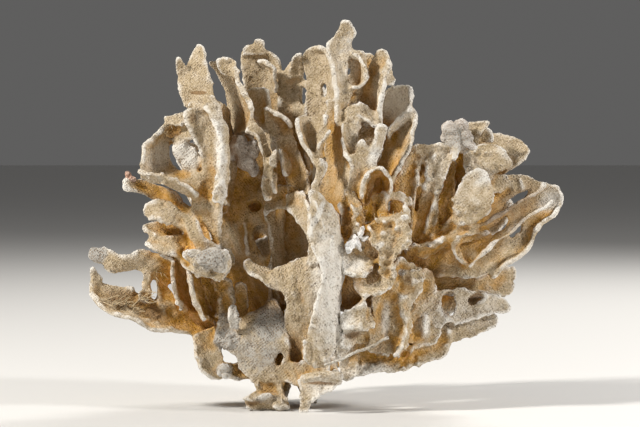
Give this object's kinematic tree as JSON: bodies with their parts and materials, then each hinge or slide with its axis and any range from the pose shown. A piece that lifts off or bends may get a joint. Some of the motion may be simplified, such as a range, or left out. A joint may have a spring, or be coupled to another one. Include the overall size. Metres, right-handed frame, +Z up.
{
  "type": "bryozoan colony",
  "caption": "Dried bryozoan colony: a bush of flat, fused, hole-pierced fronds on a short stalk that is cut off flat, for standing on a shelf or a tank floor.",
  "frame": {"origin": "on the ground, under the middle of the box round the colony", "axes": "+Z up, +X to the right of the widest side seen from the front, +Y to the back; the front fronds face -Y"},
  "size_m": [0.0957, 0.0484, 0.0781],
  "materials": {
    "arch_back": "matt, finely pored limestone skeleton",
    "back_leaf": "matt, finely pored limestone skeleton",
    "broken_twig": "matt, finely pored limestone skeleton",
    "crown_centre": "matt, finely pored limestone skeleton",
    "crown_left": "matt, finely pored limestone skeleton",
    "crown_right": "matt, finely pored limestone skeleton",
    "cup_plate": "matt, finely pored limestone skeleton",
    "foot_blob": "matt, finely granular crust",
    "front_blade": "matt, finely pored limestone skeleton",
    "front_foot": "matt, finely pored limestone skeleton",
    "front_triangle": "matt, finely pored limestone skeleton",
    "front_trunk": "matt, finely pored limestone skeleton",
    "grey_cap": "matt, finely granular crust",
    "grey_nodule": "matt, finely granular crust",
    "inner_left": "matt, finely pored limestone skeleton",
    "inner_lobes": "matt, finely pored limestone skeleton",
    "knee_crust": "matt, finely granular crust",
    "left_arm": "matt, finely pored limestone skeleton",
    "left_foot_lobe": "matt, finely pored limestone skeleton",
    "left_knee": "matt, finely pored limestone skeleton",
    "left_lobes": "matt, finely pored limestone skeleton",
    "left_spire": "matt, finely pored limestone skeleton",
    "left_window_lobe": "matt, finely pored limestone skeleton",
    "near_rim": "matt, finely pored limestone skeleton",
    "net_foot": "matt, finely pored limestone skeleton",
    "pink_tuft": "matt, dusty pink growth",
    "ragged_leaf": "matt, finely pored limestone skeleton",
    "rear_centre": "matt, finely pored limestone skeleton",
    "rear_fin_left": "matt, finely pored limestone skeleton",
    "rear_fin_right": "matt, finely pored limestone skeleton",
    "rear_left": "matt, finely pored limestone skeleton",
    "rear_low": "matt, finely pored limestone skeleton",
    "rear_low_left": "matt, finely pored limestone skeleton",
    "rear_low_right": "matt, finely pored limestone skeleton",
    "rear_right": "matt, finely pored limestone skeleton",
    "rear_trunk": "matt, finely pored limestone skeleton",
    "right_inner_fan": "matt, finely pored limestone skeleton",
    "right_outer_fan": "matt, finely pored limestone skeleton",
    "right_ridge": "matt, finely pored limestone skeleton",
    "right_skirt": "matt, finely pored limestone skeleton",
    "right_web": "matt, finely pored limestone skeleton",
    "round_disc": "matt, finely pored limestone skeleton",
    "speckled_leaf": "matt, finely pored limestone skeleton",
    "torn_plate": "matt, finely pored limestone skeleton",
    "web_back": "matt, finely pored limestone skeleton",
    "white_chunk_high": "matt white chalky shell",
    "white_chunk_low": "matt white chalky shell",
    "worm_tube": "matt white chalky shell"
  },
  "bodies": {
    "root": {"arch_back": "arch_back", "back_leaf": "back_leaf", "broken_twig": "broken_twig", "crown_centre": "crown_centre", "crown_left": "crown_left", "crown_right": "crown_right", "cup_plate": "cup_plate", "foot_blob": "foot_blob", "front_blade": "front_blade", "front_foot": "front_foot", "front_triangle": "front_triangle", "front_trunk": "front_trunk", "grey_cap": "grey_cap", "grey_nodule": "grey_nodule", "inner_left": "inner_left", "inner_lobes": "inner_lobes", "knee_crust": "knee_crust", "left_arm": "left_arm", "left_foot_lobe": "left_foot_lobe", "left_knee": "left_knee", "left_lobes": "left_lobes", "left_spire": "left_spire", "left_window_lobe": "left_window_lobe", "near_rim": "near_rim", "net_foot": "net_foot", "pink_tuft": "pink_tuft", "ragged_leaf": "ragged_leaf", "rear_centre": "rear_centre", "rear_fin_left": "rear_fin_left", "rear_fin_right": "rear_fin_right", "rear_left": "rear_left", "rear_low": "rear_low", "rear_low_left": "rear_low_left", "rear_low_right": "rear_low_right", "rear_right": "rear_right", "rear_trunk": "rear_trunk", "right_inner_fan": "right_inner_fan", "right_outer_fan": "right_outer_fan", "right_ridge": "right_ridge", "right_skirt": "right_skirt", "right_web": "right_web", "round_disc": "round_disc", "speckled_leaf": "speckled_leaf", "torn_plate": "torn_plate", "web_back": "web_back", "white_chunk_high": "white_chunk_high", "white_chunk_low": "white_chunk_low", "worm_tube": "worm_tube"}
  },
  "joints": []
}
